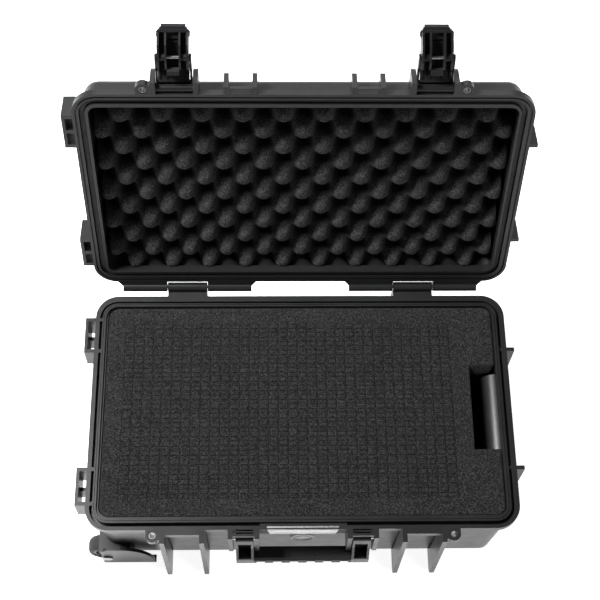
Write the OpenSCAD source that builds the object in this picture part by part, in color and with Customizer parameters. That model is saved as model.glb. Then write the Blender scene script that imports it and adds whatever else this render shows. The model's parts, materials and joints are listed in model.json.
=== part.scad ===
// Wheeled hard equipment case with a hinged lid, draw latches, a folding carry handle,
// a two-stage pull handle, two wheels and a foam lining. Millimetres, +Z up.
// The origin is the middle of the flat underside. The front, with latches and handle, faces -Y.

/* [Case] */
// Length of the rim, left to right
rim_l = 540; // [500:1:580]
// Width of the rim, front to back
rim_w = 318; // [300:1:340]
// Height of the base, from the underside to the rim
base_h = 165; // [155:1:185]
// Height of the lid above the rim
lid_h = 48; // [44:1:60]
// Corner radius of the rim in plan
rim_r = 30; // [29.5:0.5:34]
// Opening angle of the lid as modelled
lid_open_angle = 106; // [90:1:110]

/* [Latches and handles] */
// Distance of each latch from the middle
latch_x = 149.5; // [145:0.5:155]
// Angle by which each latch link stands open
link_open_angle = 104; // [80:1:110]
// Angle by which each latch lever leans on its link when open
lever_open_angle = 20; // [5:1:22]
// Distance of each carry handle bracket from the middle
bracket_x = 73.75; // [70:0.25:80]

/* [Wheels] */
// Radius of each wheel over the tyre
wheel_r = 26; // [22:0.5:27]
// Width of each wheel
wheel_w = 20; // [16:1:21]

/* [Foam] */
// Depth of the cubed foam's top below the rim
foam_drop = 2; // [1:0.5:8]
// Length of the finger notch along the right wall
notch_w = 116; // [112:1:130]

/* [Hidden] */
$fn = 64;
eps = 0.01;
hx = rim_l / 2;
hy = rim_w / 2;

// Shell walls: how far each outline lies inside the rim's outline.
wall = 4.5;
base_in_top = 7;
base_in_bottom = 16;
base_fillet = 10;
flange_h = 10;
part_gap = 0.5;
lid_z = base_h + part_gap;
lid_top = base_h + lid_h;
lid_in_rim = 6.5;
lid_in_top = 13;
lid_fillet = 12;
lid_flange_h = 9;
lid_ring_h = 11.5;
ring_in_base = 16.5;
ring_in_lid = 19;

// Seal and the tongue that presses on it. Their loop lies a little to the front and the left.
loop_shift = [-0.7, -1.6, 0];
groove_in = 6.3;
groove_depth = 6;
tongue_in = 10.3;
tongue_w = 4.5;
tongue_h = 3;
seal_in = 10;
seal_w = 4.8;
seal_play = 1;
seal_low = base_h + tongue_h + 0.5;
seal_high = seal_low + 4.5;

// Hinges.
hinge_y = hy + 12.7;
hinge_z = base_h + 3;
hinge_pin_r = 2.5;
hinge_run = 0.1;
barrel_r = 6.5;
knuckle_r = 6;
hinge_x = 150;
hinge_half = 85;
knuckle_half = 26;
knuckle_gap = 1;

// Guard ribs and the plates between them.
rib_t = 6;
rib_half = 24.5;
rib_y = -hy - 17;
bar_y = -hy - 6.4;
bar_h = 9.5;
ear_x = latch_x + 36;
ear_y = -hy - 7;
ear_r = 8.5;
ear_h = 8;
bush_r = 3.25;
bush_wall = 0.9;
bush_sink = 0.5;
lid_rib_h = 30;
lid_bracket_h = 29.5;

// Latch, with the lid shut: link pin, lever pin and lever outline.
link_pin = [-hy - 5, base_h + 6.5];
lever_pin = [-hy - 7, base_h - 30.5];
latch_pin_r = 2;
latch_run = 0.1;
link_out = 20.8;
link_in = 18.4;
lever_half = 18;
claw_z = base_h - bar_h - 0.7;
lever_skin = [-hy - 20, -hy - 17];
lever_low = base_h - 62;
lever_high = base_h - 2;

// Carry handle.
handle_pin = [-hy - 6, base_h - 15];
handle_pin_r = 2.5;
handle_run = 0.15;
bracket_rib_half = 16.4;
bracket_rib_t = 5.7;
bracket_low = base_h - 60;
bracket_y = -hy - 12;
grip_y = [-hy - 22.5, -hy - 4];
grip_z = [base_h - 79, base_h - 61.5];
arm_x = bracket_x - 1;
arm_half = 11;
grip_at = [(grip_y[0] + grip_y[1]) / 2, (grip_z[0] + grip_z[1]) / 2];
grip_core = 6;

// Pull handle: stage tubes, their channel and the end pocket.
tube_y = 36;
tube_z = 11;
guide_r = [6.8, 8];
mid_r = [5.4, 6.6];
inner_r = 5.2;
guide_x = [-170, 232];
mid_x = [-165, 238];
inner_x = [-160, 248];
pocket_half = 50;
pocket_x = 241;
pocket_top = 122;
pocket_round = 19;
channel_half = 48;
channel_top = 19.5;
channel_x = -190;
skin = 4;
cover_t = 2.6;
cover_screw_x = [-150, -30, 90, 205];
clamp_x = [-162, 30, 222];

// Wheels.
wheel_x = -255;
wheel_y = 142;
wheel_z = 27;
axle_r = 4;
well_x = -222;
well_y = 127.5;
well_top = 58;
tyre_in = 19;

// Foam.
foam_top = base_h - foam_drop;
foam_split = 44.5;
notch_x = 219;
notch_y = 2;
lid_foam_low = base_h + 9.5;
lid_foam_high = base_h + 40;

// Feet and fins on the ends.
foot_y = [80.5, 125];
foot_x = -hx - 13;
foot_t = 5;
foot_h = 38;
fin_x = hx + 10;

// ---- Outlines and helpers ----

// A rounded rectangle that lies inset inside the rim's outline.
module outline(inset) {
    r = rim_r - inset;
    x = hx - inset;
    y = hy - inset;
    square([2 * (x - r), 2 * y], center = true);
    square([2 * x, 2 * (y - r)], center = true);
    for (sx = [-1, 1], sy = [-1, 1]) translate([sx * (x - r), sy * (y - r)]) circle(r);
}

module slab(inset, z0, z1) {
    translate([0, 0, z0]) linear_extrude(z1 - z0) outline(inset);
}

// A ring between two outlines.
module band(inset_out, inset_in, z0, z1) {
    translate([0, 0, z0]) linear_extrude(z1 - z0) difference() {
        outline(inset_out);
        outline(inset_in);
    }
}

// One level of a loft: points of the outline at that inset and height, anticlockwise from above.
corner_steps = 8;
function corner_ring(inset, z) = [
    for (q = [0:3], k = [0:corner_steps])
        let (
            a = 90 * (q + k / corner_steps),
            sx = (q == 0 || q == 3) ? 1 : -1,
            sy = (q < 2) ? 1 : -1,
            r = rim_r - inset
        )
        [sx * (hx - rim_r) + r * cos(a), sy * (hy - rim_r) + r * sin(a), z]
];

// A closed solid through levels of [inset, height], lowest first.
module loft(levels) {
    n = 4 * (corner_steps + 1);
    m = len(levels);
    points = [for (l = levels) each corner_ring(l[0], l[1])];
    sides = [
        for (j = [0:m - 2], i = [0:n - 1])
            [j * n + i, (j + 1) * n + i, (j + 1) * n + (i + 1) % n, j * n + (i + 1) % n]
    ];
    bottom = [[for (i = [0:n - 1]) i]];
    top = [[for (i = [n - 1:-1:0]) (m - 1) * n + i]];
    polyhedron(points, concat(bottom, sides, top));
}

// A box given by its lowest and highest corner.
module box(lo, hi) {
    translate(lo) cube(hi - lo);
}

// A plate in the Y-Z plane, centred on x, from [y, z] points.
module yz_plate(x, t, points) {
    translate([x - t / 2, 0, 0]) rotate([90, 0, 90]) linear_extrude(t) polygon(points);
}

// A plate in the X-Z plane, from y0 to y1, from [x, z] points.
module xz_plate(y0, y1, points) {
    translate([0, y1, 0]) rotate([90, 0, 0]) linear_extrude(y1 - y0) polygon(points);
}

// A round bar along X at [y, z].
module x_bar(x0, x1, at, r) {
    translate([x0, at[0], at[1]]) rotate([0, 90, 0]) cylinder(h = x1 - x0, r = r);
}

// A round bar along Y at [x, z].
module y_bar(y0, y1, at, r) {
    translate([at[0], y1, at[1]]) rotate([90, 0, 0]) cylinder(h = y1 - y0, r = r);
}

module z_bar(z0, z1, at, r) {
    translate([at[0], at[1], z0]) cylinder(h = z1 - z0, r = r);
}

// Turns what is drawn with the lid shut to where the lid stands open.
module lid_opened() {
    translate([0, hinge_y, hinge_z]) rotate([-lid_open_angle, 0, 0])
        translate([0, -hinge_y, -hinge_z]) children();
}

module turned(at, angle) {
    translate([0, at[0], at[1]]) rotate([angle, 0, 0]) translate([0, -at[0], -at[1]]) children();
}

module link_opened() {
    lid_opened() turned(link_pin, -link_open_angle) children();
}

module lever_opened() {
    link_opened() turned(lever_pin, -lever_open_angle) children();
}

// How far the base's outer wall lies inside the rim at height z.
function base_in(z) = base_in_bottom + (base_in_top - base_in_bottom) * z / base_h;
function lid_in(z) = lid_in_rim + (lid_in_top - lid_in_rim) * (z - base_h) / lid_h;

// ---- Base shell ----

module base_outer() {
    loft([
        for (t = [0:22.5:90])
            let (z = base_fillet * (1 - cos(t))) [base_in(z) + base_fillet * (1 - sin(t)), z],
        [base_in(base_h - 6), base_h - 6]
    ]);
}

module base_cavity() {
    f = 7;
    loft([
        for (t = [0:30:90])
            let (z = wall + f * (1 - cos(t))) [base_in(z) + wall + f * (1 - sin(t)), z],
        [base_in(base_h - flange_h) + wall, base_h - flange_h]
    ]);
    slab(ring_in_base, base_h - flange_h - 1, base_h + 3);
}

module base_rim() {
    difference() {
        slab(0, base_h - flange_h, base_h);
        translate(loop_shift) band(groove_in, tongue_in, base_h - groove_depth, base_h + 1);
    }
    translate(loop_shift) tongue();
}

// The tongue has a shallow channel along its top.
module tongue() {
    side = 1.6;
    low = base_h - groove_depth;
    band(tongue_in, tongue_in + tongue_w, low, base_h + tongue_h - 1);
    band(tongue_in, tongue_in + side, low, base_h + tongue_h);
    band(tongue_in + tongue_w - side, tongue_in + tongue_w, low, base_h + tongue_h);
}

// A guard rib on the front, full height, with a chamfered foot.
module front_rib(x) {
    yz_plate(x, rib_t, [
        [-hy + 22, 3], [rib_y + 5, 3], [rib_y, 9], [rib_y, base_h], [-hy + 4, base_h], [-hy + 12, 20]
    ]);
}

module base_latch_seat() {
    for (s = [-1, 1]) front_rib(latch_x + s * rib_half);
    box([latch_x - rib_half, bar_y, base_h - bar_h], [latch_x + rib_half, -hy + 4, base_h]);
    ear(base_h - ear_h);
}

// The flat lobe beside a latch that holds an eyelet.
module ear(z) {
    z_bar(z, z + ear_h, [ear_x, ear_y], ear_r);
    box([latch_x + rib_half, ear_y, z], [ear_x + ear_r, -hy + 4, z + ear_h]);
    box([latch_x + rib_half, ear_y - 6, z], [ear_x - 2, ear_y, z + ear_h]);
}

module ear_bore(z, sink_z) {
    z_bar(z - 1, z + ear_h + 1, [ear_x, ear_y], bush_r + bush_wall);
    z_bar(sink_z, sink_z + 2, [ear_x, ear_y], bush_r + bush_wall + 1.6);
}

module handle_bracket() {
    for (s = [-1, 1]) yz_plate(bracket_x + s * bracket_rib_half, bracket_rib_t, [
        [-hy + 14, bracket_low], [bracket_y + 2, bracket_low], [bracket_y, bracket_low + 3],
        [bracket_y, base_h], [-hy + 4, base_h]
    ]);
    difference() {
        box([bracket_x - bracket_rib_half, -hy - 8.5, base_h - 6],
            [bracket_x + bracket_rib_half, -hy + 4, base_h]);
        bracket_slot(-hy - 2.2, 3.2, base_h - 7);
    }
    box([bracket_x - 14, -hy - 3, base_h - 5.5], [bracket_x + 14, -hy - 1.4, base_h - 1.5]);
}

// A slot with round ends, cut upwards from height z.
module bracket_slot(y, r, z) {
    for (s = [-1, 1]) z_bar(z, z + 15, [bracket_x + s * (12.8 - r), y], r);
    box([bracket_x - 12.8 + r, y - r, z], [bracket_x + 12.8 - r, y + r, z + 15]);
}

// The arm that carries the hinge's middle knuckle.
module base_knuckle(x) {
    x_bar(x - knuckle_half, x + knuckle_half, [hinge_y, hinge_z], knuckle_r);
    box([x - knuckle_half, hy - 6, base_h - 7], [x + knuckle_half, hinge_y, base_h - 0.4]);
    for (s = [-1, 1]) yz_plate(x + s * (knuckle_half - 3), rib_t, [
        [hy - 22, 3], [hy + 12, 3], [hy + 15, 6], [hy + 15, base_h - 26], [hinge_y + 2, base_h - 6],
        [hy - 5, base_h - 1], [hy - 12, 20]
    ]);
}

// A boxed foot on the left end: two blades, an outer plate and a low middle rib.
module end_foot(z0, z1) {
    for (y = foot_y) box([foot_x, y - foot_t / 2, z0], [-hx + 12, y + foot_t / 2, z1]);
    box([foot_x, foot_y[0], z0], [foot_x + 4, foot_y[1], z1]);
    y_mid = (foot_y[0] + foot_y[1]) / 2;
    box([foot_x, y_mid - 2.5, z0], [-hx + 12, y_mid + 2.5, z1 - 12]);
}

module end_feet(z0, z1) {
    end_foot(z0, z1);
    mirror([0, 1, 0]) end_foot(z0, z1);
}

module end_fins(z0, z1, x_in) {
    for (s = [-1, 1]) box([x_in, s * 81 - 2.5, z0], [fin_x, s * 81 + 2.5, z1]);
}

// Material inside the tub around the pocket, the tube channel and the wheel wells.
module base_bulges() {
    box([pocket_x - skin, -pocket_half - skin, 2], [hx, pocket_half + skin, pocket_top]);
    y_bar(-pocket_half - skin, pocket_half + skin, [pocket_x + pocket_round, pocket_top],
        pocket_round + skin);
    box([channel_x - skin, -channel_half - skin, 2],
        [pocket_x, channel_half + skin, channel_top + skin]);
    for (s = [0, 1]) mirror([0, s, 0])
        box([-hx, well_y - skin, 1], [well_x + skin, hy, well_top + skin]);
}

module base_pockets() {
    box([pocket_x, -pocket_half, -1], [hx + 20, pocket_half, pocket_top]);
    y_bar(-pocket_half, pocket_half, [pocket_x + pocket_round, pocket_top], pocket_round);
    box([pocket_x + pocket_round, -pocket_half, pocket_top - 1],
        [hx + 20, pocket_half, pocket_top + pocket_round]);
    box([channel_x, -channel_half, -1], [pocket_x + 1, channel_half, channel_top]);
    for (s = [0, 1]) mirror([0, s, 0]) box([-hx - 5, well_y, -1], [well_x, hy + 5, well_top]);
}

// Screw posts that hang in the tube channel.
module channel_posts() {
    for (x = cover_screw_x) difference() {
        z_bar(cover_t, channel_top + 1, [x, 0], 5);
        z_bar(2, 14, [x, 0], 1.5);
    }
}

valve_at = [0, base_h - 47];
plate_x = [-44, 43];
strip_y = [-hy + 1.7, -hy + 4];
strip_h = 1.5;
valve_face = -hy + 7;

module base_shell() {
    color("#3b3c3e") {
        difference() {
            union() {
                difference() {
                    union() {
                        base_outer();
                        base_rim();
                        for (s = [0, 1]) mirror([s, 0, 0]) {
                            base_latch_seat();
                            handle_bracket();
                            base_knuckle(hinge_x);
                        }
                        box([-54, -hy, base_h - 18], [54, -hy + 14, base_h - 1]);
                        y_bar(valve_face, -hy + 16, valve_at, 17);
                        end_feet(base_h - foot_h, base_h);
                        end_fins(25, base_h, hx - 16);
                    }
                    base_cavity();
                }
                intersection() {
                    base_outer();
                    base_bulges();
                }
            }
            base_pockets();
            box([plate_x[0] - 1, strip_y[0], base_h - strip_h], [plate_x[1] + 1, strip_y[1], base_h + 1]);
            for (s = [0, 1]) mirror([s, 0, 0]) ear_bore(base_h - ear_h, base_h - bush_sink);
            for (s = [-1, 1]) {
                x_bar(s * bracket_x - 22, s * bracket_x + 22, handle_pin, handle_pin_r);
                x_bar(s * hinge_x - 30, s * hinge_x + 30, [hinge_y, hinge_z],
                    hinge_pin_r + hinge_run);
            }
            y_bar(-hy - 2, -hy + 20, valve_at, 6.1);
        }
        channel_posts();
    }
}

// ---- Pieces fixed to the base ----

module foam_bottom_pad() {
    color("#1b1b1c") difference() {
        loft([[27.5, 6], [24, 12], [23.5, foam_split - 0.5]]);
        box([channel_x - skin - 2, -channel_half - skin - 1, 0],
            [hx, channel_half + skin + 1, channel_top + skin + 0.8]);
        box([pocket_x - skin - 1, -pocket_half - skin - 1, 0],
            [hx, pocket_half + skin + 1, foam_split + 1]);
        for (s = [0, 1]) mirror([0, s, 0])
            box([-hx, well_y - skin - 1, 0], [well_x + skin + 1, hy, foam_split + 1]);
    }
}

module foam_cube_block() {
    color("#2c2c2d") difference() {
        loft([[22, foam_split], [17.3, foam_top]]);
        box([notch_x, notch_y - notch_w / 2, 0], [hx, notch_y + notch_w / 2, base_h]);
        for (s = [0, 1]) mirror([0, s, 0])
            box([-hx, well_y - skin - 1, 0], [well_x + skin + 1, hy, well_top + skin + 1]);
        y_bar(-hy, -hy + 20.5, valve_at, 11.5);
    }
}

// The blank plate on the front edge, with its ends cut at an angle, and the strip behind it.
module name_plate() {
    play = 0.1;
    color("silver") {
        xz_plate(-hy - 1.4, -hy - eps, [
            [plate_x[0], base_h], [plate_x[1], base_h],
            [plate_x[1] - 3, base_h - 16.5], [plate_x[0] + 3, base_h - 16.5]
        ]);
        box([plate_x[0] - 1 + play, strip_y[0] + play, base_h - strip_h + eps],
            [plate_x[1] + 1 - play, strip_y[1] - play, base_h + 0.25]);
    }
}

module valve_body() {
    color("#2a2a2c") difference() {
        union() {
            y_bar(valve_face - 2, -hy + 18.4, valve_at, 6);
            y_bar(valve_face - 2, valve_face - eps, valve_at, 13);
        }
        y_bar(valve_face + 3, -hy + 19, valve_at, 3.5);
    }
}

module valve_cap() {
    color("#77787a") difference() {
        y_bar(valve_face - 5, valve_face - 2 - eps, valve_at, 15);
        difference() {
            y_bar(valve_face - 6, valve_face - 4, valve_at, 13);
            y_bar(valve_face - 7, valve_face - 3, valve_at, 8);
        }
    }
}

module valve_nut() {
    color("#2a2a2c") difference() {
        translate([valve_at[0], -hy + 18.9, valve_at[1]]) rotate([90, 0, 0])
            cylinder(h = 4, r = 10, $fn = 6);
        y_bar(-hy + 12, -hy + 20, valve_at, 6.1);
    }
}

module padlock_bush(x, z0) {
    difference() {
        z_bar(z0 - 0.3, z0 + ear_h + 0.3, [x, ear_y], bush_r + bush_wall);
        z_bar(z0 - 1, z0 + ear_h + 1, [x, ear_y], bush_r);
    }
}

module padlock_bushes_base() {
    color("silver") for (s = [-1, 1]) padlock_bush(s * ear_x, base_h - ear_h - 0.2);
}

// ---- Carry handle, hanging down ----

function arm_outline() = [
    [handle_pin[0] + 6, handle_pin[1]], [handle_pin[0] + 4.5, handle_pin[1] - 20],
    [grip_y[1], grip_z[1]], [grip_y[1], grip_z[0] + 3], [grip_y[1] - 3, grip_z[0]],
    [grip_y[0] + 3, grip_z[0]], [grip_y[0], grip_z[0] + 3], [grip_y[0], grip_z[1]],
    [handle_pin[0] - 8, handle_pin[1] - 22], [handle_pin[0] - 6, handle_pin[1]]
];

module handle_arm(x) {
    inner = [
        [handle_pin[0] + 2.5, handle_pin[1] - 9], [handle_pin[0] + 1, handle_pin[1] - 22],
        [grip_y[1] - 4, grip_z[1] + 2], [grip_y[0] - 5, grip_z[1] + 2],
        [handle_pin[0] - 20, handle_pin[1] - 9]
    ];
    difference() {
        union() {
            yz_plate(x, 2 * arm_half, arm_outline());
            x_bar(x - arm_half, x + arm_half, handle_pin, 6);
        }
        yz_plate(x, 2 * arm_half - 6, inner);
        x_bar(x - 20, x + 20, handle_pin, handle_pin_r + handle_run);
    }
}

module carry_handle_frame() {
    color("#1e1e20") {
        for (s = [-1, 1]) handle_arm(s * arm_x);
        x_bar(-arm_x + arm_half / 2, arm_x - arm_half / 2, grip_at, grip_core);
    }
}

// The grip has windows in its lower front face and narrow grooves across its top.
module carry_handle_grip() {
    end = arm_x - arm_half - 0.2;
    chamfer = 3;
    pitch = 10.6;
    color("#161617") difference() {
        yz_plate(0, 2 * end, [
            [grip_y[1], grip_z[0] + chamfer], [grip_y[1] - chamfer, grip_z[0]],
            [grip_y[0] + chamfer, grip_z[0]], [grip_y[0], grip_z[0] + chamfer],
            [grip_y[0], grip_z[1] - chamfer], [grip_y[0] + chamfer, grip_z[1]],
            [grip_y[1] - chamfer, grip_z[1]], [grip_y[1], grip_z[1] - chamfer]
        ]);
        x_bar(-end - 1, end + 1, grip_at, grip_core + eps);
        for (i = [-2.5:2.5])
            box([(2 * i - 0.5) * pitch, grip_y[0] - 1, grip_z[0] + 1],
                [(2 * i + 0.5) * pitch, grip_y[0] + 2.6, grip_z[1] - 3.5]);
        for (i = [-5:5])
            box([(i - 0.5) * pitch - 0.5, grip_y[0] + 4, grip_z[1] - 1.2],
                [(i - 0.5) * pitch + 0.5, grip_y[1] - 3.5, grip_z[1] + 1]);
    }
}

module carry_handle_pins() {
    color("silver") for (s = [-1, 1])
        x_bar(s * bracket_x - 18.8, s * bracket_x + 18.8, handle_pin, handle_pin_r);
}

// ---- Pull handle ----

module tube_pair(x_range, r_in, r_out) {
    for (s = [-1, 1]) difference() {
        x_bar(x_range[0], x_range[1], [s * tube_y, tube_z], r_out);
        if (r_in > 0) x_bar(x_range[0] - 1, x_range[1] + 1, [s * tube_y, tube_z], r_in);
    }
}

module trolley_guide_tubes() {
    color("#4a4b4d") tube_pair(guide_x, guide_r[0], guide_r[1]);
}

// Saddle blocks that hold the guide tubes against the channel's roof.
module trolley_tube_clamps() {
    color("#2a2a2c") for (x = clamp_x, s = [-1, 1]) difference() {
        box([x - 7, s * tube_y - 11.5, cover_t], [x + 7, s * tube_y + 11.5, channel_top]);
        x_bar(x - 8, x + 8, [s * tube_y, tube_z], guide_r[1]);
    }
}

module trolley_mid_tubes() {
    color("#5c5d60") tube_pair(mid_x, mid_r[0], mid_r[1]);
}

module trolley_inner_tubes() {
    color("#737477") tube_pair(inner_x, 0, inner_r);
}

module trolley_mid_yoke() {
    color("#1e1e20") difference() {
        box([guide_x[1] + 1, -tube_y - 10, 3.5], [mid_x[1] + 1, tube_y + 10, 18.5]);
        for (s = [-1, 1]) {
            x_bar(mid_x[1] - 30, mid_x[1] + eps, [s * tube_y, tube_z], mid_r[1]);
            x_bar(mid_x[1] - 30, mid_x[1] + 20, [s * tube_y, tube_z], inner_r + 0.3);
        }
    }
}

button_half = 12;
module trolley_grip() {
    z0 = 3.2;
    z1 = 25;
    half = 46;
    x0 = 242.5;
    x1 = 258;
    c = 5;
    color("#1e1e20") difference() {
        xz_plate(-half, half, [
            [x0, z0], [x1 - c, z0], [x1, z0 + c], [x1, z1 - c], [x1 - c, z1], [x0 + 3, z1],
            [x0, z1 - 3]
        ]);
        for (s = [-1, 1]) x_bar(x0 - 1, inner_x[1], [s * tube_y, tube_z], inner_r);
        box([x1 - 9, -button_half - 0.4, 9.6], [x1 + 1, button_half + 0.4, 18.9]);
    }
}

module trolley_button() {
    color("#8d2f2a") box([253.2, -button_half, 10], [258.6, button_half, 18.5]);
}

module trolley_cover() {
    color("#333436") difference() {
        box([channel_x + 1, -channel_half + 0.5, 0], [guide_x[1] - 1, channel_half - 0.5, cover_t]);
        for (x = cover_screw_x) {
            z_bar(-1, 5, [x, 0], 1.8);
            z_bar(-1, 1.4, [x, 0], 3.8);
        }
    }
}

module trolley_cover_screws() {
    color("silver") for (x = cover_screw_x) {
        z_bar(0.5, 12, [x, 0], 1.5);
        z_bar(0.3, 1.4, [x, 0], 3.5);
    }
}

// ---- Wheels, drawn at the front and mirrored to the rear ----

bracket_plate_in = [well_y + 0.5, well_y + 3.5];
bracket_plate_out = [153.2, 157.5];
fairing_x = -194;
screw_x = -229.5;
screw_z = [16, 44];
screw_r = 2;
screw_head = [3.6, 1.2];

// The fairing's top edge is a quarter ellipse that falls from the wheel to the right.
function fairing_outline(height) = concat(
    [[wheel_x - 7, 2], [fairing_x, 2]],
    [for (a = [0:10:90]) [-236 + (fairing_x + 236) * cos(a), 3 + height * sin(a)]],
    [[wheel_x + 2, 3 + height], [wheel_x - 7, height - 6]]
);

module wheel_bracket() {
    at = [wheel_x, wheel_z];
    color("#333436") difference() {
        union() {
            xz_plate(bracket_plate_out[0], bracket_plate_out[1], fairing_outline(60));
            xz_plate(bracket_plate_in[0], bracket_plate_in[1], [
                [wheel_x - 9, 12], [wheel_x, 6], [well_x - 0.5, 3], [well_x - 0.5, well_top - 0.5],
                [wheel_x - 9, well_top - 0.5]
            ]);
            box([wheel_x - 9, bracket_plate_in[0], well_top - 3.5],
                [well_x - 0.5, bracket_plate_out[1], well_top - 0.5]);
            box([well_x - 3.5, bracket_plate_in[0], 3],
                [well_x - 0.5, bracket_plate_out[1], well_top - 0.5]);
            box([well_x - 3.5, 148, 2], [fairing_x + 1, bracket_plate_out[1], 5]);
        }
        y_bar(well_y, 165, at, axle_r);
        for (z = screw_z) y_bar(well_y, bracket_plate_in[1] + 1, [screw_x, z], screw_r + 0.2);
    }
}

module wheel_axle() {
    color("silver") {
        y_bar(bracket_plate_in[0] + 0.2, 158, [wheel_x, wheel_z], axle_r);
        y_bar(157.6, 159.6, [wheel_x, wheel_z], 6.5);
    }
}

module wheel_hub() {
    at = [wheel_x, wheel_z];
    y0 = wheel_y - wheel_w / 2;
    y1 = wheel_y + wheel_w / 2;
    color("#55565a") difference() {
        union() {
            y_bar(y0 + 7, y1 - 7, at, tyre_in);
            difference() {
                y_bar(y0 + 1, y1 - 1, at, tyre_in);
                y_bar(y0, y1 + 1, at, tyre_in - 3);
            }
            y_bar(y0, y1, at, 8);
            for (a = [0:60:300]) translate([at[0], 0, at[1]]) rotate([0, a, 0])
                box([-1.5, y0 + 2, 0], [1.5, y1 - 2, tyre_in - 1]);
        }
        y_bar(y0 - 1, y1 + 1, at, axle_r + 0.1);
    }
}

// The tyre's tread is rounded towards its edges.
module wheel_tyre() {
    r = wheel_r;
    w = wheel_w / 2;
    color("#262626") translate([wheel_x, wheel_y, wheel_z]) rotate([90, 0, 0])
        rotate_extrude() polygon([
            [tyre_in, -w], [r - 3, -w], [r - 1, -w + 2.2], [r, -w + 6], [r, w - 6],
            [r - 1, w - 2.2], [r - 3, w], [tyre_in, w]
        ]);
}

module at_front() {
    mirror([0, 1, 0]) children();
}

module wheel_bracket_screws() {
    color("silver") for (s = [0, 1]) mirror([0, s, 0]) for (z = screw_z) {
        y_bar(well_y - 3.2, bracket_plate_in[1] + 1, [screw_x, z], screw_r);
        y_bar(bracket_plate_in[1] + eps, bracket_plate_in[1] + screw_head[1], [screw_x, z], screw_head[0]);
    }
}

// ---- Lid shell, drawn shut ----

module lid_outer() {
    z_side = lid_top - lid_fillet;
    loft([
        [lid_in(lid_z), lid_z], [lid_in(z_side), z_side],
        for (t = [22.5:22.5:90])
            let (z = z_side + lid_fillet * sin(t)) [lid_in(z) + lid_fillet * (1 - cos(t)), z]
    ]);
}

module lid_cavity() {
    slab(ring_in_lid, base_h - 1, lid_z + lid_ring_h + 1);
    loft([
        [lid_in(lid_z) + wall, lid_z + lid_ring_h],
        [lid_in(lid_top) + wall, lid_top - 10],
        [lid_in(lid_top) + wall + 2, lid_top - 6],
        [lid_in(lid_top) + wall + 6, lid_top - 4]
    ]);
}

module lid_latch_seat() {
    for (s = [-1, 1]) yz_plate(latch_x + s * rib_half, rib_t, [
        [-hy + 4, lid_z], [rib_y, lid_z], [rib_y, lid_z + lid_rib_h - 6],
        [rib_y + 1.5, lid_z + lid_rib_h - 1.5], [rib_y + 5, lid_z + lid_rib_h],
        [-hy + 10, lid_z + lid_rib_h + 3]
    ]);
    ear(lid_z);
}

module lid_bracket() {
    for (s = [-1, 1]) yz_plate(bracket_x + s * bracket_rib_half, bracket_rib_t, [
        [-hy + 4, lid_z], [bracket_y + 1, lid_z], [bracket_y + 1, lid_z + lid_bracket_h - 4],
        [bracket_y + 4, lid_z + lid_bracket_h], [-hy + 10, lid_z + lid_bracket_h + 2]
    ]);
    difference() {
        box([bracket_x - bracket_rib_half, bracket_y + 3, lid_z],
            [bracket_x + bracket_rib_half, -hy + 4, lid_z + 5]);
        box([bracket_x - 12, -hy - 6.5, lid_z - 1], [bracket_x + 12, -hy - 1.5, lid_z + 6]);
    }
}

// The two barrels of one hinge, joined to the lid by a plate with angled ends.
module lid_barrels(x) {
    gap = knuckle_half + knuckle_gap;
    root = hinge_half + 6;
    difference() {
        union() {
            x_bar(x - hinge_half, x + hinge_half, [hinge_y, hinge_z], barrel_r);
            translate([0, 0, lid_z]) linear_extrude(7.5) polygon([
                [x - root, hy - 5], [x - root, hy], [x - hinge_half, hinge_y - 4],
                [x - hinge_half, hinge_y], [x + hinge_half, hinge_y],
                [x + hinge_half, hinge_y - 4], [x + root, hy], [x + root, hy - 5]
            ]);
        }
        box([x - gap, hy + 0.5, base_h - 20], [x + gap, hinge_y + 20, lid_z + 30]);
    }
}

module lid_shell() {
    color("#3b3c3e") lid_opened() difference() {
        union() {
            difference() {
                union() {
                    lid_outer();
                    slab(0, lid_z, lid_z + lid_flange_h);
                    for (s = [0, 1]) mirror([s, 0, 0]) {
                        lid_latch_seat();
                        lid_bracket();
                    }
                    end_feet(lid_z, lid_z + 35);
                    end_fins(lid_z, lid_z + 35, hx - 12);
                }
                lid_cavity();
            }
            difference() {
                slab(lid_in_rim, lid_z, lid_z + lid_ring_h);
                slab(ring_in_lid, lid_z - 1, lid_z + 20);
            }
            for (s = [-1, 1]) lid_barrels(s * hinge_x);
        }
        band(3.5, 5.5, lid_z - 1, lid_z + 2.5);
        translate(loop_shift)
            band(seal_in - seal_play, seal_in + seal_w + seal_play, lid_z - 1, seal_high);
        translate([0, 0, lid_top - 1.2]) linear_extrude(5) offset_panel(78);
        for (s = [0, 1]) mirror([s, 0, 0]) ear_bore(lid_z, lid_z - 2 + bush_sink);
        for (s = [-1, 1]) {
            x_bar(s * latch_x - 30, s * latch_x + 30, link_pin, latch_pin_r);
            x_bar(s * hinge_x - 90, s * hinge_x + 90, [hinge_y, hinge_z], hinge_pin_r);
        }
    }
}

// The shallow field in the lid's top.
module offset_panel(inset) {
    x = hx - inset;
    y = hy - inset + 20;
    r = 12;
    square([2 * (x - r), 2 * y], center = true);
    square([2 * x, 2 * (y - r)], center = true);
    for (sx = [-1, 1], sy = [-1, 1]) translate([sx * (x - r), sy * (y - r)]) circle(r);
}

module lid_seal() {
    color("#232324") lid_opened() translate(loop_shift)
        band(seal_in, seal_in + seal_w, seal_low, seal_high - eps);
}

module lid_foam() {
    color("#1f1f20") lid_opened() loft([[21, lid_foam_low], [21, lid_foam_high]]);
}

module hinge_pin(x) {
    color("silver") lid_opened()
        x_bar(x - hinge_half + 1, x + hinge_half - 1, [hinge_y, hinge_z], hinge_pin_r);
}

module padlock_bushes_lid() {
    color("silver") lid_opened() for (s = [-1, 1]) padlock_bush(s * ear_x, lid_z + 0.3);
}

// ---- Latches ----

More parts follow.
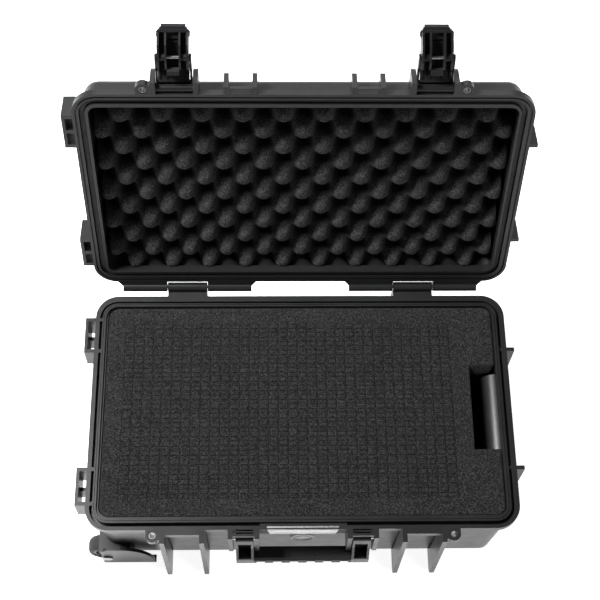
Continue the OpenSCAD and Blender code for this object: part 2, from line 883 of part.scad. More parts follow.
module latch_pin(x) {
    color("silver") lid_opened()
        x_bar(x - rib_half - 2.5, x + rib_half + 2.5, link_pin, latch_pin_r);
}

// The link's side arm bows out around the bar on the base.
module link_arm(x) {
    p = link_pin;
    q = lever_pin;
    difference() {
        union() {
            yz_plate(x, link_out - link_in, [
                [p[0] + 4, p[1] - 1], [p[0] - 1, p[1] - 4], [p[0] - 5.3, p[1] - 5.5],
                [p[0] - 5.3, q[1] + 18], [q[0] + 1, q[1] + 13], [q[0] + 4, q[1] + 3], [q[0] + 4, q[1]],
                [q[0] - 4, q[1]], [q[0] - 8, q[1] + 12], [p[0] - 11, q[1] + 18], [p[0] - 11, p[1] - 2],
                [p[0] - 7, p[1] + 4], [p[0] - 2, p[1] + 4.2]
            ]);
            x_bar(x - 1.2, x + 1.2, p, 4.3);
            x_bar(x - 1.2, x + 1.2, q, 4.3);
        }
        x_bar(x - 5, x + 5, p, latch_pin_r + latch_run);
        x_bar(x - 5, x + 5, q, latch_pin_r + latch_run);
    }
}

// The plate between the arms, in front of the pin.
module link_web(x) {
    p = link_pin;
    yz_plate(x, 2 * link_in + 0.4, [
        [p[0] - 1, p[1] + 2.5], [p[0] - 1, p[1] + 4.1], [p[0] - 7, p[1] + 3.7], [p[0] - 10.4, p[1] - 1],
        [p[0] - 10.4, p[1] - 6], [p[0] - 8, p[1] - 6], [p[0] - 8, p[1]], [p[0] - 5.5, p[1] + 2.2]
    ]);
}

module latch_link(x) {
    mid = (link_out + link_in) / 2;
    color("#1e1e20") link_opened() {
        for (s = [-1, 1]) link_arm(x + s * mid);
        difference() {
            union() {
                x_bar(x - link_in - eps, x + link_in + eps, link_pin, 4.3);
                link_web(x);
            }
            x_bar(x - 30, x + 30, link_pin, latch_pin_r + latch_run);
        }
    }
}

// The lever: outer skin, side walls, two inner walls, cross walls, claw and finger lip.
module lever_body(x) {
    skin_out = lever_skin[0];
    skin_in = lever_skin[1];
    q = lever_pin;
    side = [
        [skin_out + 1, lever_low + 2], [skin_out + 1, lever_high - 4], [skin_in + 2.4, lever_high - 5],
        [skin_in + 2.4, base_h - 14], [q[0] + 3, base_h - 17], [q[0] + 7.5, q[1] + 6],
        [q[0] + 7.5, q[1] - 14], [q[0] + 2, lever_low + 5], [q[0] - 4, lever_low + 2]
    ];
    box([x - lever_half, skin_out, lever_low + 3], [x + lever_half, skin_in, lever_high]);
    flare = lever_half + 1.2;
    xz_plate(skin_out - 0.2, skin_in + 4, [
        [x - flare, lever_low + 3], [x - flare + 3, lever_low], [x + flare - 3, lever_low],
        [x + flare, lever_low + 3], [x + flare, lever_low + 8], [x + flare - 2, lever_low + 11],
        [x - flare + 2, lever_low + 11], [x - flare, lever_low + 8]
    ]);
    box([x - lever_half + 4, skin_out - 1.2, lever_low + 8],
        [x + lever_half - 4, skin_out + 1, lever_high - 10]);
    for (s = [-1, 1]) {
        yz_plate(x + s * (lever_half - 1.45), 2.5, side);
        yz_plate(x + s * 8, 2.2, side);
        x_bar(x + s * 12.5 - 5.4, x + s * 12.5 + 5.4, q, 4.6);
    }
    box([x - lever_half + 1, q[0] - 4.5, lever_low + 1], [x + lever_half - 1, q[0] - 1, lever_low + 4]);
    box([x - lever_half + 1, skin_in - 1, lever_low + 1], [x + lever_half - 1, q[0] - 4, lever_low + 4]);
    box([x - lever_half + 1, skin_in - 1, q[1] - 18], [x + lever_half - 1, q[0] - 8, q[1] - 15.5]);
    yz_plate(x, 14, [
        [skin_in - 1, claw_z - 9], [skin_in - 1, claw_z - 1], [bar_y - 1.5, claw_z - 1],
        [bar_y + 3, claw_z], [bar_y + 3, claw_z - 4.5], [bar_y, claw_z - 9]
    ]);
    yz_plate(x, 28, [
        [skin_in - 0.5, lever_low + 3], [skin_out + 1, lever_low + 3], [skin_out - 3, lever_low - 3.5],
        [skin_out - 1, lever_low - 5], [skin_in - 0.5, lever_low - 2]
    ]);
    yz_plate(x, 31.5, [
        [skin_in - 0.5, lever_low + 3], [skin_out + 1.2, lever_low + 3], [skin_out - 1.6, lever_low - 2],
        [skin_in - 0.5, lever_low - 1.2]
    ]);
}

module latch_lever(x) {
    color("#1e1e20") lever_opened() difference() {
        lever_body(x);
        x_bar(x - 30, x + 30, lever_pin, latch_pin_r);
    }
}

module latch_lever_pin(x) {
    color("silver") lever_opened() x_bar(x - link_out, x + link_out, lever_pin, latch_pin_r);
}

// ---- One line for each node ----

base_shell();
foam_bottom_pad();
foam_cube_block();
name_plate();
valve_body();
valve_cap();
valve_nut();
padlock_bushes_base();
carry_handle_frame();
carry_handle_grip();
carry_handle_pins();
trolley_guide_tubes();
trolley_cover();
trolley_cover_screws();
trolley_tube_clamps();
trolley_mid_tubes();
trolley_mid_yoke();
trolley_inner_tubes();
trolley_grip();
trolley_button();
at_front() wheel_bracket();  // wheel_bracket_front
wheel_bracket();  // wheel_bracket_rear
wheel_bracket_screws();
at_front() wheel_axle();  // wheel_axle_front
wheel_axle();  // wheel_axle_rear
at_front() wheel_hub();  // wheel_hub_front
wheel_hub();  // wheel_hub_rear
at_front() wheel_tyre();  // wheel_tyre_front
wheel_tyre();  // wheel_tyre_rear
lid_shell();
lid_seal();
lid_foam();
hinge_pin(-hinge_x);  // hinge_pin_left
hinge_pin(hinge_x);  // hinge_pin_right
padlock_bushes_lid();
latch_pin(-latch_x);  // latch_pin_left
latch_pin(latch_x);  // latch_pin_right
latch_link(-latch_x);  // latch_link_left
latch_link(latch_x);  // latch_link_right
latch_lever(-latch_x);  // latch_lever_left
latch_lever(latch_x);  // latch_lever_right
latch_lever_pin(-latch_x);  // latch_lever_pin_left
latch_lever_pin(latch_x);  // latch_lever_pin_right
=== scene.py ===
"""Looks of a wheeled hard equipment case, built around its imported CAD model.

Lengths are in metres. The frame is the CAD model's: +X towards the pull handle, -Y to the front, +Z up.
"""

import json
import math

import bmesh
import bpy
import numpy as np
from mathutils import Matrix, Vector


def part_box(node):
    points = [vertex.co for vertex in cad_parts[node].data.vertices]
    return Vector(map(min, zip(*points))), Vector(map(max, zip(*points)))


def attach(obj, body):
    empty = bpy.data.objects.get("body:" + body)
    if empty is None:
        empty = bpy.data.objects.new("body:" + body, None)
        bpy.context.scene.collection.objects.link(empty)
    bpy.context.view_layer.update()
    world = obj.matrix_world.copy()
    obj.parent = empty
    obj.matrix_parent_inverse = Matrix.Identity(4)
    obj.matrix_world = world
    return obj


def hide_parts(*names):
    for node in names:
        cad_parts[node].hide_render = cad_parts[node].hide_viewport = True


MM = 0.001
WELD_DISTANCE = 1e-6
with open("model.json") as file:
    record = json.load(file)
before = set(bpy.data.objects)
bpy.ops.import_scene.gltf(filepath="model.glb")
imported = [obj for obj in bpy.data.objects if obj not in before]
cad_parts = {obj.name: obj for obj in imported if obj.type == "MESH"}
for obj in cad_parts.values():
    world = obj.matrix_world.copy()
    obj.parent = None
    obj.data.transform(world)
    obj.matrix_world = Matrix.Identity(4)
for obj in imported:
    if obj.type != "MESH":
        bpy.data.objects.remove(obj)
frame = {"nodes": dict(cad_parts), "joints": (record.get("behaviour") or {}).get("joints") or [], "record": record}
nodes = frame["nodes"]
joints = {j["name"]: j for j in frame["joints"]}
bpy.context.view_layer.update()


# ---- Small helpers ----


def new_object(name, mesh, material):
    """Links a mesh object with one material."""
    piece = bpy.data.objects.new(name, mesh)
    bpy.context.scene.collection.objects.link(piece)
    piece.data.materials.append(material)
    return piece


def apply_modifiers(piece):
    """Replaces the piece's mesh with what its modifiers make of it."""
    graph = bpy.context.evaluated_depsgraph_get()
    made = bpy.data.meshes.new_from_object(piece.evaluated_get(graph))
    piece.modifiers.clear()
    piece.data = made


def smooth(piece, angle_deg):
    """Smooth shading with edges sharper than the angle kept."""
    for face in piece.data.polygons:
        face.use_smooth = True
    piece.data.set_sharp_from_angle(angle=math.radians(angle_deg))


def turn_about_x(point, angle_deg):
    """The transform that turns about an X-parallel axis through the point."""
    return (
        Matrix.Translation(point)
        @ Matrix.Rotation(math.radians(angle_deg), 4, "X")
        @ Matrix.Translation(-Vector(point))
    )


hinge = joints["lid_hinge"]
LID_TURN = hinge["range_deg"][1]
lid_shut = turn_about_x(Vector(hinge["pos_m"]), LID_TURN)
lid_open = lid_shut.inverted()


def box_when(node, transform):
    """Lowest and highest corner of a CAD node after a transform."""
    points = [transform @ v.co for v in nodes[node].data.vertices]
    low = Vector(min(p[i] for p in points) for i in range(3))
    high = Vector(max(p[i] for p in points) for i in range(3))
    return low, high


# ---- Node graph helpers ----


class Graph:
    """A material's node tree, with short calls for the nodes used here."""

    def __init__(self, name):
        self.material = bpy.data.materials.new(name)
        self.material.use_nodes = True
        self.tree = self.material.node_tree
        self.shader = self.tree.nodes["Principled BSDF"]
        self.position = self.node("ShaderNodeTexCoord").outputs["Object"]

    def node(self, kind, **settings):
        made = self.tree.nodes.new(kind)
        for key, value in settings.items():
            setattr(made, key, value)
        return made

    def link(self, output, target):
        self.tree.links.new(output, target)

    def set(self, socket, value):
        self.shader.inputs[socket].default_value = value

    def feed(self, socket, output):
        self.link(output, self.shader.inputs[socket])

    def noise(self, scale, detail=2.0, rough=0.5, stretch=None):
        made = self.node("ShaderNodeTexNoise")
        made.inputs["Scale"].default_value = scale
        made.inputs["Detail"].default_value = detail
        made.inputs["Roughness"].default_value = rough
        self.link(self.stretched(stretch), made.inputs["Vector"])
        return made.outputs["Fac"]

    def stretched(self, stretch):
        if stretch is None:
            return self.position
        mapping = self.node("ShaderNodeMapping")
        mapping.inputs["Scale"].default_value = stretch
        self.link(self.position, mapping.inputs["Vector"])
        return mapping.outputs["Vector"]

    def cells(self, scale, output="Distance"):
        made = self.node("ShaderNodeTexVoronoi")
        made.inputs["Scale"].default_value = scale
        self.link(self.position, made.inputs["Vector"])
        return made.outputs[output]

    def ramp(self, value, stops):
        """stops are (position, colour or grey level)."""
        made = self.node("ShaderNodeValToRGB")
        elements = made.color_ramp.elements
        while len(elements) < len(stops):
            elements.new(0.5)
        for element, (at, level) in zip(elements, stops):
            element.position = at
            element.color = (*level, 1) if isinstance(level, tuple) else (level, level, level, 1)
        self.link(value, made.inputs["Fac"])
        return made.outputs["Color"]

    def math(self, operation, a, b=0.0, c=0.0):
        made = self.node("ShaderNodeMath", operation=operation)
        for socket, value in zip(made.inputs, (a, b, c)):
            if isinstance(value, (int, float)):
                socket.default_value = value
            else:
                self.link(value, socket)
        return made.outputs["Value"]

    def mix(self, factor, a, b, blend="MIX"):
        made = self.node("ShaderNodeMix", data_type="RGBA", blend_type=blend)
        for index, value in ((0, factor), (6, a), (7, b)):
            if isinstance(value, (int, float)):
                made.inputs[index].default_value = value
            elif isinstance(value, tuple):
                made.inputs[index].default_value = (*value, 1)
            else:
                self.link(value, made.inputs[index])
        return made.outputs[2]

    def bump(self, height, strength, distance, below=None):
        made = self.node("ShaderNodeBump")
        made.inputs["Strength"].default_value = strength
        made.inputs["Distance"].default_value = distance
        self.link(height, made.inputs["Height"])
        if below is not None:
            self.link(below, made.inputs["Normal"])
        return made.outputs["Normal"]


def moulded_plastic(
    name, dark, light, rough, grain_mm=0.8, grain_depth=0.05, scuffs=0.5, specular=0.5
):
    """Moulded plastic: fine spark-eroded grain, soft colour drift, and pale scuffs in rubbed patches."""
    g = Graph(name)
    drift = g.noise(9, 3)
    base = g.ramp(drift, [(0.3, dark), (0.7, light)])
    rub = g.ramp(g.noise(38, 6, 0.7), [(0.60, 0.0), (0.74, 1.0)])
    fine = g.ramp(g.noise(420, 2), [(0.45, 0.0), (0.6, 1.0)])
    scuff = g.math("MULTIPLY", g.math("MULTIPLY", rub, fine), scuffs)
    pale = tuple(min(1.0, c * 1.6 + 0.01) for c in light)
    colour = g.mix(scuff, base, pale)
    roughness = g.math("MULTIPLY_ADD", g.noise(60, 4), 0.16, rough - 0.08)
    roughness = g.math("MULTIPLY_ADD", scuff, 0.12, roughness)
    g.feed("Base Color", colour)
    g.feed("Roughness", roughness)
    g.set("Specular IOR Level", specular)
    grain = g.cells(1 / (grain_mm * MM))
    ripple = g.bump(g.noise(25, 2), 0.12, 0.4 * MM)
    g.feed("Normal", g.bump(grain, 0.35, grain_depth * MM, ripple))
    return g.material


def brushed_metal(name, colour, rough, along=(40, 2200, 2200)):
    """Drawn or turned metal: fine lines along X."""
    g = Graph(name)
    g.set("Metallic", 1.0)
    lines = g.noise(1, 3, 0.6, along)
    shade = tuple(0.72 * c for c in colour)
    g.feed("Base Color", g.mix(g.ramp(lines, [(0.3, 0.0), (0.7, 1.0)]), shade, colour))
    g.feed("Roughness", g.math("MULTIPLY_ADD", lines, 0.2, rough - 0.1))
    g.feed("Normal", g.bump(lines, 0.25, 0.02 * MM))
    return g.material


def foam_material(name, low, high, pore_mm=1.3, depth_mm=0.7, cube=None, hollow=None):
    """Open-cell foam: pores of uneven tone, and painted shade in the dashed slits of a cubed block.

    hollow is (origin, direction). It paints shade into the colour, which deepens along the
    direction, so that the bottoms of a relief's hollows are near black.
    """
    g = Graph(name)
    pores = g.cells(1 / (pore_mm * MM))
    tone = g.node("ShaderNodeSeparateXYZ")
    g.link(g.cells(1 / (pore_mm * MM), output="Color"), tone.inputs[0])
    fine = g.math("MULTIPLY", g.noise(1100, 3, 0.7), 0.35)
    speckle = g.math("MULTIPLY_ADD", tone.outputs["X"], 0.75, fine)
    middle = tuple(0.38 * c for c in high)
    colour = g.ramp(speckle, [(0.2, low), (0.62, middle), (0.95, high)])
    drift = g.ramp(g.noise(14, 3), [(0.3, 0.86), (0.7, 1.0)])
    colour = g.mix(1.0, colour, drift, "MULTIPLY")
    if hollow is not None:
        origin, inwards = hollow
        depth = g.node("ShaderNodeVectorMath", operation="DOT_PRODUCT")
        g.link(g.position, depth.inputs[0])
        depth.inputs[1].default_value = inwards
        from_peak = g.math("SUBTRACT", depth.outputs["Value"], inwards.dot(origin))
        shade = g.ramp(g.math("DIVIDE", from_peak, HOLLOW_REACH), [(0.2, 1.0), (0.85, HOLLOW_TONE)])
        colour = g.mix(1.0, colour, shade, "MULTIPLY")
    if cube is not None:
        # Painted shade: the slits between the cubes are darkened to near black
        slits = g.math("MULTIPLY", slit_mask(g, cube), SLIT_SHADE_STRENGTH)
        colour = g.mix(slits, colour, SLIT_SHADE_COLOUR)
    g.feed("Base Color", colour)
    g.set("Roughness", 1.0)
    g.set("Specular IOR Level", 0.1)
    g.set("Sheen Weight", 0.03)
    g.set("Sheen Roughness", 0.6)
    coarse = g.bump(g.noise(500, 3), 0.5, 0.5 * MM)
    g.feed("Normal", g.bump(pores, 0.8, depth_mm * MM, coarse))
    return g.material


def slit_mask(g, cube):
    """1 on the slits between foam cubes, where shade is painted into the colour. cube is (pitch, half width, half
    length, centre x) of the grid.
    """
    pitch, half_w, half_l, centre_x = cube
    axes = g.node("ShaderNodeSeparateXYZ")
    g.link(g.position, axes.inputs[0])
    wobble = g.math("MULTIPLY_ADD", g.noise(160, 2), SLIT_WANDER, -SLIT_WANDER / 2)
    across = [g.math("ADD", axes.outputs[i], wobble) for i in (0, 1)]
    across[0] = g.math("SUBTRACT", across[0], centre_x)
    halves = (half_l, half_w)
    reach = [g.math("LESS_THAN", g.math("ABSOLUTE", v), half) for v, half in zip(across, halves)]
    inside = g.math("MULTIPLY", *reach)
    nearest = [g.math("PINGPONG", g.math("ADD", v, PITCHES_TO_POSITIVE * pitch), pitch / 2) for v in across]
    lines = []
    for near, along in ((nearest[0], nearest[1]), (nearest[1], nearest[0])):
        line = g.math("LESS_THAN", near, SLIT_HALF_WIDTH)
        dash = g.math("GREATER_THAN", along, SLIT_BRIDGE)
        lines.append(g.math("MULTIPLY", line, dash))
    return g.math("MULTIPLY", g.math("MAXIMUM", *lines), inside)


# ---- Materials ----

# Depth scale and darkest tone of the shade painted in the lid foam's hollows
HOLLOW_REACH = 25 * MM
HOLLOW_TONE = 0.06
# Grid of foam cubes
CUBE_PITCH = 12.5 * MM
CUBE_COLUMNS, CUBE_ROWS = 34, 19
CUBE_CENTRE_X = -17.5 * MM
GRID_OVERRUN = 0.3 * MM
cube_grid = (
    CUBE_PITCH,
    CUBE_ROWS * CUBE_PITCH / 2 + GRID_OVERRUN,
    CUBE_COLUMNS * CUBE_PITCH / 2 + GRID_OVERRUN,
    CUBE_CENTRE_X,
)
# Painted shade in the slits between foam cubes: the mask's half width, the uncut bridge at each crossing, and how
# far they wander
SLIT_HALF_WIDTH = 0.6 * MM
SLIT_BRIDGE = 1.3 * MM
SLIT_WANDER = 0.7 * MM
# Strength and near-black colour of the shade painted in the slits
SLIT_SHADE_STRENGTH = 0.85
SLIT_SHADE_COLOUR = (0.002, 0.002, 0.002)
# Whole pitches added before the ping-pong, so that its input is positive
PITCHES_TO_POSITIVE = 100

shell_mat = moulded_plastic(
    "shell_plastic", (0.012, 0.0123, 0.0128), (0.016, 0.0163, 0.0168), 0.34, specular=0.3
)
fitting_mat = moulded_plastic(
    "fitting_plastic", (0.010, 0.010, 0.011), (0.014, 0.014, 0.015), 0.42, 0.6, specular=0.3
)
handle_mat = moulded_plastic(
    "handle_plastic", (0.007, 0.007, 0.008), (0.011, 0.011, 0.012), 0.36, 0.6, specular=0.3
)
grip_mat = moulded_plastic(
    "grip_rubber", (0.008, 0.008, 0.009), (0.012, 0.012, 0.013), 0.6, 0.5, 0.08, 0.3, specular=0.3
)
valve_mat = moulded_plastic("valve_grey", (0.42, 0.42, 0.43), (0.5, 0.5, 0.51), 0.35, 0.5, 0.02)
hub_mat = moulded_plastic("wheel_hub", (0.03, 0.03, 0.032), (0.045, 0.045, 0.047), 0.45)
tyre_mat = moulded_plastic(
    "tyre_rubber", (0.008, 0.008, 0.008), (0.013, 0.013, 0.013), 0.7, 0.5, 0.08, 0.9
)
seal_mat = moulded_plastic(
    "seal_rubber", (0.004, 0.004, 0.004), (0.007, 0.007, 0.007), 0.65, 0.5, 0.04, 0.1
)
button_mat = moulded_plastic("button_red", (0.25, 0.02, 0.015), (0.32, 0.03, 0.02), 0.4, 0.5, 0.02)
steel_mat = brushed_metal("pin_steel", (0.5, 0.5, 0.51), 0.3)
dark_steel_mat = brushed_metal("dark_steel", (0.22, 0.22, 0.23), 0.4)
plate_mat = brushed_metal("plate_silver", (0.86, 0.86, 0.87), 0.3, (300, 2500, 2500))
tube_mat = brushed_metal("tube_alu", (0.30, 0.30, 0.32), 0.35)
cube_foam_mat = foam_material(
    "cube_foam", (0.004, 0.004, 0.004), (0.047, 0.047, 0.048), 1.1, cube=cube_grid
)
side_foam_mat = foam_material("pad_foam", (0.004, 0.004, 0.004), (0.04, 0.04, 0.041), 1.5)
lid_peak = lid_open @ Vector((0, 0, box_when("lid_foam", lid_shut)[0].z))
lid_inwards = lid_open.to_3x3() @ Vector((0, 0, 1))
lid_foam_mat = foam_material(
    "lid_foam", (0.010, 0.010, 0.010), (0.075, 0.075, 0.076), 1.0, hollow=(lid_peak, lid_inwards)
)

by_slot = {
    "shell_plastic": shell_mat,
    "fitting_plastic": fitting_mat,
    "handle_plastic": handle_mat,
    "grip_rubber": grip_mat,
    "foam_dark": side_foam_mat,
    "foam_lid": lid_foam_mat,
    "seal_rubber": seal_mat,
    "pin_steel": steel_mat,
    "plate_silver": plate_mat,
    "valve_grey": valve_mat,
    "tube_alu": tube_mat,
    "wheel_hub": hub_mat,
    "tyre_rubber": tyre_mat,
    "button_red": button_mat,
}

slot_of = {s["node"]: s["material_slot"] for s in frame["record"]["subparts"]}
DARK_STEEL_NODES = ("padlock_bushes", "wheel_axle", "wheel_bracket_screws")
for name, node in nodes.items():
    node.data.materials.clear()
    dark_steel = name.startswith(DARK_STEEL_NODES)
    node.data.materials.append(dark_steel_mat if dark_steel else by_slot[slot_of[name]])


# ---- CAD nodes that stay: rounded edges ----

BEVEL_FROM_DEG = 40
NODE_SMOOTH_DEG = 30


def round_edges(name, width_mm):
    """A small bevel on a CAD node's hard edges, as a modifier, with hardened normals."""
    bevel = nodes[name].modifiers.new("edge_round", "BEVEL")
    bevel.width = width_mm * MM
    bevel.segments = 2
    bevel.limit_method = "ANGLE"
    bevel.angle_limit = math.radians(BEVEL_FROM_DEG)
    bevel.use_clamp_overlap = True
    bevel.harden_normals = True


# ---- Foam ----

# Grid spacing in the plain border round the cubes, and its least distance from them
BORDER_STEP = 4 * MM
BORDER_GAP = 1.5 * MM
# Grid lines on each side of a slit's middle
SLIT_OFFSETS = (0.45 * MM, 1.0 * MM, 2.4 * MM)
SLIT_DEPTH = 1.4 * MM
SLIT_FLANK = 0.9 * MM
# Lowest and highest that a cube stands out of line, and the seed of that unevenness
CUBE_LIFT_MM = (-0.22, 0.05)
LIFT_SEED = 11
# How far the cubes' top starts below the CAD solid's
TOP_DROP = 0.1 * MM
CUT_MARGIN = 1 * MM


def grid_lines(low, high, pitch, centre, count, offsets):
    """Grid positions: the offsets within each cube, plus an even spacing in the plain border."""
    first = centre - count * pitch / 2
    cuts = [first + i * pitch for i in range(count + 1)]
    lines = [c + s * o for c in cuts for o in offsets for s in (-1, 1)]
    lines += cuts + [c + pitch / 2 for c in cuts[:-1]]
    lines += list(np.arange(low, first - BORDER_GAP, BORDER_STEP)) + [low, high]
    lines += list(np.arange(high, cuts[-1] + BORDER_GAP, -BORDER_STEP))
    return np.unique(np.round([v for v in lines if low <= v <= high], 6))


def relief_slab(name, xs, ys, heights, floor, material):
    """A closed solid with a height field on top and a flat underside."""
    nx, ny = len(xs), len(ys)
    grid_x, grid_y = np.meshgrid(xs, ys, indexing="ij")
    top = np.stack([grid_x, grid_y, heights], -1).reshape(-1, 3)
    under = top.copy()
    under[:, 2] = floor
    index = np.arange(nx * ny).reshape(nx, ny)
    a, b, c, d = index[:-1, :-1], index[1:, :-1], index[1:, 1:], index[:-1, 1:]
    quads = np.stack([a, b, c, d], -1).reshape(-1, 4)
    shift = nx * ny
    faces = quads.tolist() + (quads[:, ::-1] + shift).tolist()
    sides = (index[:, 0], index[-1, 1:], index[-2::-1, -1], index[0, -2:0:-1])
    ring = np.concatenate(sides).tolist()
    for p, q in zip(ring, ring[1:] + ring[:1]):
        faces.append([q, p, p + shift, q + shift])
    mesh = bpy.data.meshes.new(name)
    mesh.from_pydata(np.concatenate([top, under]).tolist(), [], faces)
    mesh.validate()
    return new_object(name, mesh, material)


def cut_to(piece, node, transform):
    """Keeps the part of the piece that lies in a CAD node, seen after the transform."""
    cutter = bpy.data.objects.new("cutter", nodes[node].data.copy())
    bpy.context.scene.collection.objects.link(cutter)
    cutter.data.transform(transform)
    bm = bmesh.new()
    bm.from_mesh(cutter.data)
    bmesh.ops.remove_doubles(bm, verts=bm.verts, dist=WELD_DISTANCE)
    bm.to_mesh(cutter.data)
    bm.free()
    boolean = piece.modifiers.new("cut", "BOOLEAN")
    boolean.operation = "INTERSECT"
    boolean.solver = "EXACT"
    boolean.object = cutter
    bpy.context.view_layer.update()
    apply_modifiers(piece)
    bpy.data.objects.remove(cutter)


def slit_depth(near):
    """1 in the middle of a slit, falling to 0 at its flank."""
    return np.clip(1 - near / SLIT_FLANK, 0, 1) ** 0.7


def slit_relief(xs, ys):
    """Depth of the cube slits below the foam's top, with every cube standing a little differently."""
    pitch, half_w, half_l, centre_x = cube_grid
    u = (xs - centre_x + half_l) / pitch
    v = (ys + half_w) / pitch
    near_u = np.abs(u - np.round(u)) * pitch
    near_v = np.abs(v - np.round(v)) * pitch
    slack = 0.1 * MM
    inside = np.outer(np.abs(xs - centre_x) <= half_l + slack, np.abs(ys) <= half_w + slack)
    depth = SLIT_DEPTH * np.maximum.outer(slit_depth(near_u), slit_depth(near_v)) * inside
    state = np.random.RandomState(LIFT_SEED)
    lift = state.uniform(*CUBE_LIFT_MM, (CUBE_COLUMNS + 2, CUBE_ROWS + 2)) * MM
    cell_u = np.clip(np.floor(u + 1), 0, CUBE_COLUMNS + 1).astype(int)
    cell_v = np.clip(np.floor(v + 1), 0, CUBE_ROWS + 1).astype(int)
    return lift[np.ix_(cell_u, cell_v)] * inside - depth


def make_cube_foam():
    """The cubed block with its slits, in place of its CAD solid."""
    low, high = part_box("foam_cube_block")
    margin = CUT_MARGIN
    along = (CUBE_PITCH, CUBE_CENTRE_X, CUBE_COLUMNS, SLIT_OFFSETS)
    across = (CUBE_PITCH, 0, CUBE_ROWS, SLIT_OFFSETS)
    xs = grid_lines(low.x - margin, high.x + margin, *along)
    ys = grid_lines(low.y - margin, high.y + margin, *across)
    heights = high.z - TOP_DROP + slit_relief(xs, ys)
    piece = relief_slab("cubed_foam", xs, ys, heights, low.z - margin, cube_foam_mat)
    cut_to(piece, "foam_cube_block", Matrix.Identity(4))
    smooth(piece, 60)
    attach(piece, "base")
    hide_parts("foam_cube_block")


# Egg-crate foam: distance between like peaks, the first row's place, and the hollows' depth
CRATE_PITCH = (24.1 * MM, 25.3 * MM)
CRATE_ROW = 11 * MM
CRATE_DEPTH = 27 * MM
CRATE_STEP = 1.9 * MM


def crate_relief(grid_x, grid_y):
    """Egg-crate height, from 0 at the bottom of a hollow to 1 at a peak."""
    u = np.pi * grid_x / CRATE_PITCH[0]
    v = np.pi * (grid_y - CRATE_ROW) / CRATE_PITCH[1]
    wave = np.cos(u) * np.cos(v)
    return 0.5 + 0.5 * np.sin(0.5 * np.pi * wave)


def make_lid_foam():
    """The convoluted foam, shaped with the lid shut and then turned with it."""
    low, high = box_when("lid_foam", lid_shut)
    step = CRATE_STEP
    xs = np.arange(low.x - step, high.x + 1.5 * step, step)
    ys = np.arange(low.y - step, high.y + 1.5 * step, step)
    grid_x, grid_y = np.meshgrid(xs, ys, indexing="ij")
    # The relief faces down when the lid is shut, so the slab is built upside down.
    depth = CRATE_DEPTH * (1 - crate_relief(grid_x, grid_y))
    heights = -(low.z + depth)
    piece = relief_slab("convoluted_foam", xs, ys, heights, -(high.z + step), lid_foam_mat)
    flip = Matrix.Diagonal((1, 1, -1, 1))
    piece.data.transform(flip)
    piece.data.flip_normals()
    cut_to(piece, "lid_foam", lid_shut)
    piece.data.transform(lid_open)
    smooth(piece, 80)
    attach(piece, "lid")
    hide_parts("lid_foam")


# ---- Stage ----

# Camera: place in metres, turns in degrees, focal length on a 36 mm sensor
CAMERA_PLACE = (-0.0413, -0.5957, 1.7435)
PAN_DEG, TILT_DEG, ROLL_DEG = -3.12, 25.41, 2.69
LENS_MM = 78.74
SENSOR_MM = 36
# Studio: (from, to) of the height of a direction, and of its brightness
SKY_HEIGHT = (0.02, 0.4)
SKY_GLOW = (0.6, 0.06)
# Floor: half size, (from, to) in Y, and the glow there
FLOOR_REACH = 6.0
FLOOR_FADE_Y = (-1.0, -0.45)
FLOOR_GLOW = (0.25, 0.9)


def make_camera():
    """A camera at the viewing angle from the front and above."""
    data = bpy.data.cameras.new("camera")
    data.sensor_width = SENSOR_MM
    data.lens = LENS_MM
    data.clip_end = 20
    camera = bpy.data.objects.new("camera", data)
    bpy.context.scene.collection.objects.link(camera)
    pan, tilt, roll = (math.radians(a) for a in (PAN_DEG, TILT_DEG, ROLL_DEG))
    turn = Matrix.Rotation(pan, 4, "Z") @ Matrix.Rotation(tilt, 4, "X") @ Matrix.Rotation(roll, 4, "Z")
    camera.matrix_world = Matrix.Translation(CAMERA_PLACE) @ turn
    bpy.context.scene.camera = camera


def area_light(name, place, aim, size, watts, shape_y=None):
    """A soft light at a place, turned towards the aim; shape_y makes it a rectangle."""
    data = bpy.data.lights.new(name, "AREA")
    data.energy = watts
    data.size = size
    if shape_y:
        data.shape = "RECTANGLE"
        data.size_y = shape_y
    light = bpy.data.objects.new(name, data)
    bpy.context.scene.collection.objects.link(light)
    light.location = place
    light.rotation_euler = (Vector(aim) - Vector(place)).to_track_quat("-Z", "Y").to_euler()


def fade_between(tree, value, start, end):
    """A map range from the (from, to) pair of the value to that of the result."""
    fade = tree.nodes.new("ShaderNodeMapRange")
    names = ("From Min", "From Max", "To Min", "To Max")
    for socket, number in zip(names, (*start, *end)):
        fade.inputs[socket].default_value = number
    tree.links.new(value, fade.inputs["Value"])
    return fade.outputs["Result"]


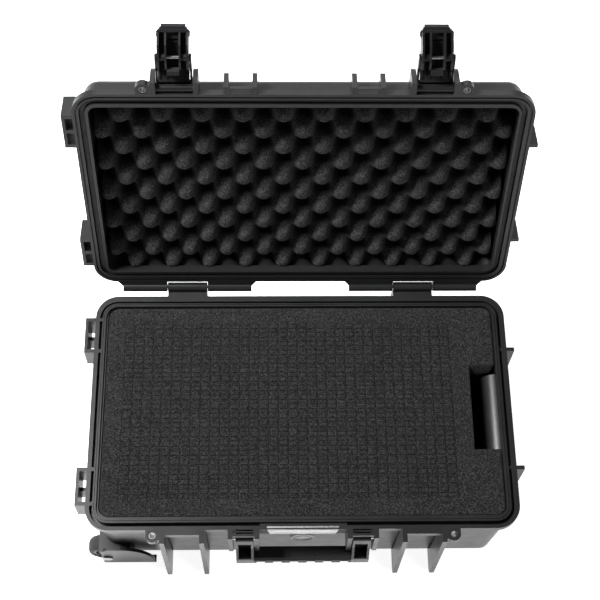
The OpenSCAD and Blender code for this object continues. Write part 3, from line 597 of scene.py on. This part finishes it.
def studio_world():
    """A studio that is bright near the horizon and dim overhead."""
    world = bpy.data.worlds.new("studio")
    world.use_nodes = True
    tree = world.node_tree
    axes = tree.nodes.new("ShaderNodeSeparateXYZ")
    tree.links.new(tree.nodes.new("ShaderNodeTexCoord").outputs["Generated"], axes.inputs[0])
    glow = fade_between(tree, axes.outputs["Z"], SKY_HEIGHT, SKY_GLOW)
    tree.links.new(glow, tree.nodes["Background"].inputs["Strength"])
    tree.nodes["Background"].inputs["Color"].default_value = (1, 1, 1, 1)
    return world


def make_stage():
    """The studio, a pale floor and three soft lights."""
    scene = bpy.context.scene
    scene.view_settings.view_transform = "Standard"
    scene.world = studio_world()
    floor_mesh = bpy.data.meshes.new("floor")
    reach = FLOOR_REACH
    corners = [(-reach, -reach, 0), (reach, -reach, 0), (reach, reach, 0), (-reach, reach, 0)]
    floor_mesh.from_pydata(corners, [], [(0, 1, 2, 3)])
    g = Graph("pale_floor")
    g.feed("Base Color", g.ramp(g.noise(3, 2), [(0.3, 0.86), (0.7, 0.88)]))
    g.set("Roughness", 0.9)
    g.set("Emission Color", (1, 1, 1, 1))
    axes = g.node("ShaderNodeSeparateXYZ")
    g.link(g.position, axes.inputs[0])
    # The floor's own glow stands in for a lit white sweep. It is weaker far in front of the case.
    g.feed("Emission Strength", fade_between(g.tree, axes.outputs["Y"], FLOOR_FADE_Y, FLOOR_GLOW))
    floor = new_object("floor", floor_mesh, g.material)
    area_light("key", (-1.2, 0.4, 2.0), (0, 0, 0.1), 0.6, 105)
    area_light("back", (0, 2.4, 1.5), (0, 0.2, 0.4), 1.8, 10, 0.8)
    area_light("right", (1.5, -1.2, 1.5), (0, 0, 0.1), 0.9, 12)


make_camera()
make_stage()
make_cube_foam()
make_lid_foam()

EDGES_MM = {"base_shell": 0.6, "lid_shell": 0.6, "carry_handle_frame": 0.8, "carry_handle_grip": 0.6}
EDGES_MM |= {"name_plate": 0.25, "valve_cap": 0.4, "trolley_grip": 1.2, "trolley_button": 0.5}
for side in ("left", "right"):
    EDGES_MM |= {f"latch_lever_{side}": 0.5, f"latch_link_{side}": 0.4}
for end in ("front", "rear"):
    EDGES_MM |= {f"wheel_bracket_{end}": 0.7, f"wheel_hub_{end}": 0.3}
for name in nodes:
    smooth(nodes[name], NODE_SMOOTH_DEG)
    if name in EDGES_MM:
        round_edges(name, EDGES_MM[name])
